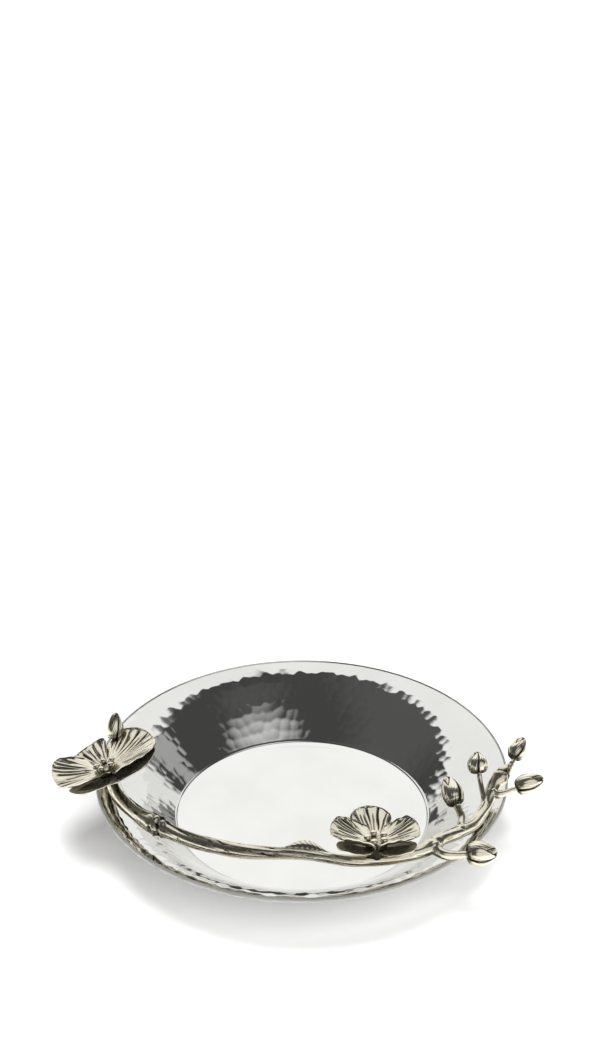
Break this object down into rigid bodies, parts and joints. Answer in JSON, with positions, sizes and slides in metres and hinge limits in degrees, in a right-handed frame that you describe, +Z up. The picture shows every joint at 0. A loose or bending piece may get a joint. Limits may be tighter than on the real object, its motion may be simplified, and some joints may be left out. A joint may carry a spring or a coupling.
{
  "type": "wine bottle coaster",
  "caption": "Round hammered steel coaster for a wine bottle, with a plated orchid branch, flowers and buds round its rim.",
  "frame": {"origin": "centre of the dish's flat underside, on the table", "axes": "+Z up along the dish's axis, +X to the right and -Y towards the viewer, so the branch runs round the front"},
  "size_m": [0.1894, 0.162, 0.0431],
  "materials": {
    "polished_steel": "mirror-polished stainless steel, flat floor and hammered wall",
    "branch_plate": "polished warm nickel plate over cast metal",
    "bud_plate": "polished warm nickel plate over cast metal, darkened in the folds",
    "petal_plate": "polished warm nickel plate with fine cast veins, darkened in the grooves",
    "screw_steel": "plain stainless steel"
  },
  "bodies": {
    "root": {"dish": "polished_steel", "branch": "branch_plate", "branch_screws": "screw_steel", "leaf": "petal_plate", "tail_twig": "branch_plate", "tail_bud": "bud_plate", "low_twig": "branch_plate", "low_bud": "bud_plate", "inner_twig": "branch_plate", "inner_bud": "bud_plate", "thin_twig": "branch_plate", "thin_bud": "bud_plate", "upper_twig": "branch_plate", "upper_bud": "bud_plate", "outer_twig": "branch_plate", "outer_bud": "bud_plate", "large_neck": "petal_plate", "large_beads": "petal_plate", "large_left_petal": "petal_plate", "large_right_petal": "petal_plate", "large_back_petal": "petal_plate", "large_front_sepal": "petal_plate", "large_side_sepal": "petal_plate", "small_neck": "petal_plate", "small_beads": "petal_plate", "small_left_petal": "petal_plate", "small_right_petal": "petal_plate", "small_back_petal": "petal_plate", "small_front_sepal": "petal_plate", "small_side_sepal": "petal_plate"}
  },
  "joints": []
}
